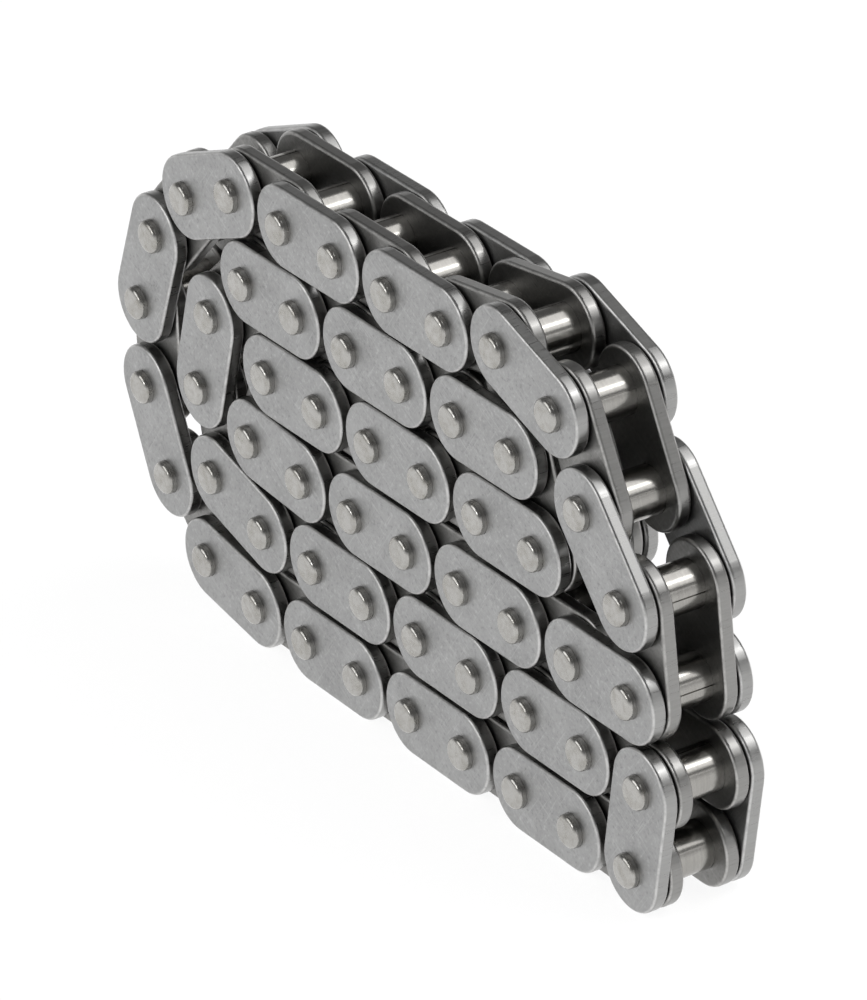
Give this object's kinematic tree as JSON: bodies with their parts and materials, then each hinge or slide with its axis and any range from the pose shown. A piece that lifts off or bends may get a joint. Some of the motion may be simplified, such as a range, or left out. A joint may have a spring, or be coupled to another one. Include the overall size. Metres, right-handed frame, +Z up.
{
  "type": "timing chain",
  "caption": "Endless bush timing chain rolled up on edge in a flat coil, with straight-sided plates, riveted pins, plain bushes and one closing link.",
  "frame": {"origin": "middle of the coil's footprint, on the surface that the bottom run lies on", "axes": "+X along the bottom run towards the closing link, -Y out of the front plates, +Z up"},
  "size_m": [0.0648, 0.0088, 0.037],
  "materials": {
    "outer_link_steel": "satin",
    "inner_link_steel": "satin",
    "pin_steel": "polished"
  },
  "bodies": {
    "link_20": {"outer_20": "outer_link_steel"},
    "link_00": {"outer_00": "outer_link_steel"},
    "link_01": {"inner_01": "inner_link_steel"},
    "link_02": {"outer_02": "outer_link_steel"},
    "link_03": {"inner_03": "inner_link_steel"},
    "link_04": {"outer_04": "outer_link_steel"},
    "link_05": {"inner_05": "inner_link_steel"},
    "link_06": {"outer_06": "outer_link_steel"},
    "link_07": {"inner_07": "inner_link_steel"},
    "link_08": {"outer_08": "outer_link_steel"},
    "link_09": {"inner_09": "inner_link_steel"},
    "link_10": {"outer_10": "outer_link_steel"},
    "link_11": {"inner_11": "inner_link_steel"},
    "link_12": {"outer_12": "outer_link_steel"},
    "link_13": {"inner_13": "inner_link_steel"},
    "link_14": {"outer_14": "outer_link_steel"},
    "link_15": {"inner_15": "inner_link_steel"},
    "link_16": {"outer_16": "outer_link_steel"},
    "link_17": {"inner_17": "inner_link_steel"},
    "link_18": {"outer_18": "outer_link_steel"},
    "link_19": {"inner_19": "inner_link_steel"},
    "link_21": {"inner_21": "inner_link_steel"},
    "link_22": {"outer_22": "outer_link_steel"},
    "link_23": {"inner_23": "inner_link_steel"},
    "link_24": {"outer_24": "outer_link_steel"},
    "link_25": {"inner_25": "inner_link_steel"},
    "link_26": {"outer_26": "outer_link_steel"},
    "link_27": {"inner_27": "inner_link_steel"},
    "link_28": {"outer_28": "outer_link_steel"},
    "link_29": {"inner_29": "inner_link_steel"},
    "link_30": {"outer_30": "outer_link_steel"},
    "link_31": {"inner_31": "inner_link_steel"},
    "link_32": {"outer_32": "outer_link_steel"},
    "link_33": {"inner_33": "inner_link_steel"},
    "link_34": {"outer_34": "outer_link_steel"},
    "link_35": {"inner_35": "inner_link_steel"},
    "link_36": {"outer_36": "outer_link_steel"},
    "link_37": {"inner_37": "inner_link_steel"},
    "link_38": {"outer_38": "outer_link_steel"},
    "link_39": {"inner_39": "inner_link_steel"},
    "closing_link": {"close_front": "outer_link_steel", "close_rear": "outer_link_steel", "close_pin": "pin_steel", "close_stubs": "pin_steel"},
    "link_41": {"inner_41": "inner_link_steel", "close_core": "pin_steel"},
    "link_42": {"outer_42": "outer_link_steel"},
    "link_43": {"inner_43": "inner_link_steel"},
    "link_44": {"outer_44": "outer_link_steel"},
    "link_45": {"inner_45": "inner_link_steel"},
    "link_46": {"outer_46": "outer_link_steel"},
    "link_47": {"inner_47": "inner_link_steel"},
    "link_48": {"outer_48": "outer_link_steel"},
    "link_49": {"inner_49": "inner_link_steel"},
    "link_50": {"outer_50": "outer_link_steel"},
    "link_51": {"inner_51": "inner_link_steel"},
    "link_52": {"outer_52": "outer_link_steel"},
    "link_53": {"inner_53": "inner_link_steel"}
  },
  "joints": [
    {"name": "pivot_19", "type": "hinge", "parent": "link_20", "child": "link_19", "pos_m": [-0.00047, 0, 0.02127], "axis": [0, 1, 0], "range_deg": [0, 4.4]},
    {"name": "pivot_18", "type": "hinge", "parent": "link_19", "child": "link_18", "pos_m": [-0.00682, 0, 0.02127], "axis": [0, 1, 0], "range_deg": [0, 1.54]},
    {"name": "pivot_17", "type": "hinge", "parent": "link_18", "child": "link_17", "pos_m": [-0.01317, 0, 0.02127], "axis": [0, 1, 0], "range_deg": [0, 0.84]},
    {"name": "pivot_16", "type": "hinge", "parent": "link_17", "child": "link_16", "pos_m": [-0.01587, 0, 0.01553], "axis": [0, 1, 0], "range_deg": [0, 2.2]},
    {"name": "pivot_15", "type": "hinge", "parent": "link_16", "child": "link_15", "pos_m": [-0.00953, 0, 0.01508], "axis": [0, 1, 0], "range_deg": [0, 0.66]},
    {"name": "pivot_14", "type": "hinge", "parent": "link_15", "child": "link_14", "pos_m": [-0.00318, 0, 0.01508], "axis": [0, 1, 0], "range_deg": [0, 3.3]},
    {"name": "pivot_13", "type": "hinge", "parent": "link_14", "child": "link_13", "pos_m": [0.00317, 0, 0.01508], "axis": [0, 1, 0], "range_deg": [0, 3.08]},
    {"name": "pivot_12", "type": "hinge", "parent": "link_13", "child": "link_12", "pos_m": [0.00952, 0, 0.01508], "axis": [0, 1, 0], "range_deg": [0, 3.08]},
    {"name": "pivot_11", "type": "hinge", "parent": "link_12", "child": "link_11", "pos_m": [0.01587, 0, 0.01508], "axis": [0, 1, 0], "range_deg": [0, 3.46]},
    {"name": "pivot_10", "type": "hinge", "parent": "link_11", "child": "link_10", "pos_m": [0.02222, 0, 0.01508], "axis": [0, 1, 0], "range_deg": [0, 4.4]},
    {"name": "pivot_09", "type": "hinge", "parent": "link_10", "child": "link_09", "pos_m": [0.02857, 0, 0.01508], "axis": [0, 1, 0], "range_deg": [0, 4.4]},
    {"name": "pivot_08", "type": "hinge", "parent": "link_09", "child": "link_08", "pos_m": [0.02813, 0, 0.02142], "axis": [0, 1, 0], "range_deg": [0, 4.4]},
    {"name": "pivot_07", "type": "hinge", "parent": "link_08", "child": "link_07", "pos_m": [0.02409, 0, 0.02632], "axis": [0, 1, 0], "range_deg": [0, 3.08]},
    {"name": "pivot_06", "type": "hinge", "parent": "link_07", "child": "link_06", "pos_m": [0.02131, 0, 0.03203], "axis": [0, 1, 0], "range_deg": [0, 4.4]},
    {"name": "pivot_05", "type": "hinge", "parent": "link_06", "child": "link_05", "pos_m": [0.0153, 0, 0.0341], "axis": [0, 1, 0], "range_deg": [0, 4.4]},
    {"name": "pivot_04", "type": "hinge", "parent": "link_05", "child": "link_04", "pos_m": [0.00902, 0, 0.03322], "axis": [0, 1, 0], "range_deg": [0, 4.4]},
    {"name": "pivot_03", "type": "hinge", "parent": "link_04", "child": "link_03", "pos_m": [0.00267, 0, 0.03322], "axis": [0, 1, 0], "range_deg": [0, 5.4]},
    {"name": "pivot_02", "type": "hinge", "parent": "link_03", "child": "link_02", "pos_m": [-0.00368, 0, 0.03322], "axis": [0, 1, 0], "range_deg": [0, 4.4]},
    {"name": "pivot_01", "type": "hinge", "parent": "link_02", "child": "link_01", "pos_m": [-0.01003, 0, 0.03322], "axis": [0, 1, 0], "range_deg": [0, 3.52]},
    {"name": "pivot_00", "type": "hinge", "parent": "link_01", "child": "link_00", "pos_m": [-0.01638, 0, 0.03322], "axis": [0, 1, 0], "range_deg": [0, 21]},
    {"name": "pivot_53", "type": "hinge", "parent": "link_00", "child": "link_53", "pos_m": [-0.0223, 0, 0.03091], "axis": [0, 1, 0], "range_deg": [0, 22]},
    {"name": "pivot_52", "type": "hinge", "parent": "link_53", "child": "link_52", "pos_m": [-0.02688, 0, 0.02651], "axis": [0, 1, 0], "range_deg": [0, 22]},
    {"name": "pivot_51", "type": "hinge", "parent": "link_52", "child": "link_51", "pos_m": [-0.0294, 0, 0.02068], "axis": [0, 1, 0], "range_deg": [0, 22]},
    {"name": "pivot_50", "type": "hinge", "parent": "link_51", "child": "link_50", "pos_m": [-0.02948, 0, 0.01433], "axis": [0, 1, 0], "range_deg": [0, 22]},
    {"name": "pivot_49", "type": "hinge", "parent": "link_50", "child": "link_49", "pos_m": [-0.02711, 0, 0.00844], "axis": [0, 1, 0], "range_deg": [0, 22]},
    {"name": "pivot_48", "type": "hinge", "parent": "link_49", "child": "link_48", "pos_m": [-0.02266, 0, 0.00392], "axis": [0, 1, 0], "range_deg": [0, 36]},
    {"name": "pivot_47", "type": "hinge", "parent": "link_48", "child": "link_47", "pos_m": [-0.01638, 0, 0.00293], "axis": [0, 1, 0], "range_deg": [0, 9]},
    {"name": "pivot_46", "type": "hinge", "parent": "link_47", "child": "link_46", "pos_m": [-0.01003, 0, 0.00293], "axis": [0, 1, 0], "range_deg": [0, 15]},
    {"name": "pivot_45", "type": "hinge", "parent": "link_46", "child": "link_45", "pos_m": [-0.00368, 0, 0.00293], "axis": [0, 1, 0], "range_deg": [0, 15]},
    {"name": "pivot_44", "type": "hinge", "parent": "link_45", "child": "link_44", "pos_m": [0.00267, 0, 0.00293], "axis": [0, 1, 0], "range_deg": [0, 15]},
    {"name": "pivot_43", "type": "hinge", "parent": "link_44", "child": "link_43", "pos_m": [0.00902, 0, 0.00293], "axis": [0, 1, 0], "range_deg": [0, 15]},
    {"name": "pivot_42", "type": "hinge", "parent": "link_43", "child": "link_42", "pos_m": [0.01537, 0, 0.00293], "axis": [0, 1, 0], "range_deg": [0, 15]},
    {"name": "pivot_41", "type": "hinge", "parent": "link_42", "child": "link_41", "pos_m": [0.02172, 0, 0.00293], "axis": [0, 1, 0], "range_deg": [0, 15]},
    {"name": "pivot_21", "type": "hinge", "parent": "link_20", "child": "link_21", "pos_m": [0.00588, 0, 0.02127], "axis": [0, 1, 0], "range_deg": [0, 3.08]},
    {"name": "pivot_22", "type": "hinge", "parent": "link_21", "child": "link_22", "pos_m": [0.01223, 0, 0.02127], "axis": [0, 1, 0], "range_deg": [0, 0.84]},
    {"name": "pivot_23", "type": "hinge", "parent": "link_22", "child": "link_23", "pos_m": [0.01858, 0, 0.02127], "axis": [0, 1, 0], "range_deg": [0, 1.98]},
    {"name": "pivot_24", "type": "hinge", "parent": "link_23", "child": "link_24", "pos_m": [0.01642, 0, 0.02724], "axis": [0, 1, 0], "range_deg": [0, 0.63]},
    {"name": "pivot_25", "type": "hinge", "parent": "link_24", "child": "link_25", "pos_m": [0.01007, 0, 0.02724], "axis": [0, 1, 0], "range_deg": [0, 3.08]},
    {"name": "pivot_26", "type": "hinge", "parent": "link_25", "child": "link_26", "pos_m": [0.00372, 0, 0.02724], "axis": [0, 1, 0], "range_deg": [0, 3.08]},
    {"name": "pivot_27", "type": "hinge", "parent": "link_26", "child": "link_27", "pos_m": [-0.00263, 0, 0.02724], "axis": [0, 1, 0], "range_deg": [0, 3.3]},
    {"name": "pivot_28", "type": "hinge", "parent": "link_27", "child": "link_28", "pos_m": [-0.00898, 0, 0.02724], "axis": [0, 1, 0], "range_deg": [0, 3.96]},
    {"name": "pivot_29", "type": "hinge", "parent": "link_28", "child": "link_29", "pos_m": [-0.01533, 0, 0.02724], "axis": [0, 1, 0], "range_deg": [0, 12.6]},
    {"name": "pivot_30", "type": "hinge", "parent": "link_29", "child": "link_30", "pos_m": [-0.02012, 0, 0.02308], "axis": [0, 1, 0], "range_deg": [0, 12.32]},
    {"name": "pivot_31", "type": "hinge", "parent": "link_30", "child": "link_31", "pos_m": [-0.02215, 0, 0.01706], "axis": [0, 1, 0], "range_deg": [0, 13.2]},
    {"name": "pivot_32", "type": "hinge", "parent": "link_31", "child": "link_32", "pos_m": [-0.02109, 0, 0.0108], "axis": [0, 1, 0], "range_deg": [0, 13.2]},
    {"name": "pivot_33", "type": "hinge", "parent": "link_32", "child": "link_33", "pos_m": [-0.01497, 0, 0.00911], "axis": [0, 1, 0], "range_deg": [0, 11]},
    {"name": "pivot_34", "type": "hinge", "parent": "link_33", "child": "link_34", "pos_m": [-0.00862, 0, 0.00911], "axis": [0, 1, 0], "range_deg": [0, 4.5]},
    {"name": "pivot_35", "type": "hinge", "parent": "link_34", "child": "link_35", "pos_m": [-0.00227, 0, 0.00911], "axis": [0, 1, 0], "range_deg": [0, 4.5]},
    {"name": "pivot_36", "type": "hinge", "parent": "link_35", "child": "link_36", "pos_m": [0.00408, 0, 0.00911], "axis": [0, 1, 0], "range_deg": [0, 4.5]},
    {"name": "pivot_37", "type": "hinge", "parent": "link_36", "child": "link_37", "pos_m": [0.01043, 0, 0.00911], "axis": [0, 1, 0], "range_deg": [0, 4.5]},
    {"name": "pivot_38", "type": "hinge", "parent": "link_37", "child": "link_38", "pos_m": [0.01678, 0, 0.00911], "axis": [0, 1, 0], "range_deg": [0, 4.5]},
    {"name": "pivot_39", "type": "hinge", "parent": "link_38", "child": "link_39", "pos_m": [0.02313, 0, 0.00911], "axis": [0, 1, 0], "range_deg": [0, 3]},
    {"name": "closing_link_swing", "type": "hinge", "parent": "link_39", "child": "closing_link", "pos_m": [0.02948, 0, 0.00911], "axis": [0, -1, 0], "range_deg": [0, 70]}
  ],
  "couplings": [
    {"joint": "pivot_22", "follows": "pivot_00", "ratio": 0.04},
    {"joint": "pivot_11", "follows": "pivot_00", "ratio": 0.165},
    {"joint": "pivot_24", "follows": "pivot_00", "ratio": 0.03},
    {"joint": "pivot_17", "follows": "pivot_00", "ratio": 0.04},
    {"joint": "pivot_29", "follows": "pivot_00", "ratio": 0.6},
    {"joint": "pivot_16", "follows": "pivot_53", "ratio": 0.1},
    {"joint": "pivot_10", "follows": "pivot_53", "ratio": 0.2},
    {"joint": "pivot_33", "follows": "pivot_53", "ratio": 0.5},
    {"joint": "pivot_25", "follows": "pivot_52", "ratio": 0.14},
    {"joint": "pivot_21", "follows": "pivot_52", "ratio": 0.14},
    {"joint": "pivot_19", "follows": "pivot_52", "ratio": 0.2},
    {"joint": "pivot_31", "follows": "pivot_52", "ratio": 0.6},
    {"joint": "pivot_27", "follows": "pivot_52", "ratio": 0.15},
    {"joint": "pivot_09", "follows": "pivot_52", "ratio": 0.2},
    {"joint": "pivot_13", "follows": "pivot_51", "ratio": 0.14},
    {"joint": "pivot_14", "follows": "pivot_51", "ratio": 0.15},
    {"joint": "pivot_08", "follows": "pivot_51", "ratio": 0.2},
    {"joint": "pivot_26", "follows": "pivot_51", "ratio": 0.14},
    {"joint": "pivot_32", "follows": "pivot_51", "ratio": 0.6},
    {"joint": "pivot_02", "follows": "pivot_51", "ratio": 0.2},
    {"joint": "pivot_23", "follows": "pivot_50", "ratio": 0.09},
    {"joint": "pivot_15", "follows": "pivot_50", "ratio": 0.03},
    {"joint": "pivot_12", "follows": "pivot_50", "ratio": 0.14},
    {"joint": "pivot_30", "follows": "pivot_50", "ratio": 0.56},
    {"joint": "pivot_04", "follows": "pivot_50", "ratio": 0.2},
    {"joint": "pivot_06", "follows": "pivot_50", "ratio": 0.2},
    {"joint": "pivot_18", "follows": "pivot_49", "ratio": 0.07},
    {"joint": "pivot_01", "follows": "pivot_49", "ratio": 0.16},
    {"joint": "pivot_05", "follows": "pivot_49", "ratio": 0.2},
    {"joint": "pivot_07", "follows": "pivot_49", "ratio": 0.14},
    {"joint": "pivot_28", "follows": "pivot_49", "ratio": 0.18},
    {"joint": "pivot_03", "follows": "pivot_48", "ratio": 0.15},
    {"joint": "pivot_34", "follows": "pivot_46", "ratio": 0.3},
    {"joint": "pivot_35", "follows": "pivot_45", "ratio": 0.3},
    {"joint": "pivot_36", "follows": "pivot_44", "ratio": 0.3},
    {"joint": "pivot_37", "follows": "pivot_43", "ratio": 0.3},
    {"joint": "pivot_38", "follows": "pivot_42", "ratio": 0.3},
    {"joint": "pivot_39", "follows": "pivot_41", "ratio": 0.2}
  ]
}
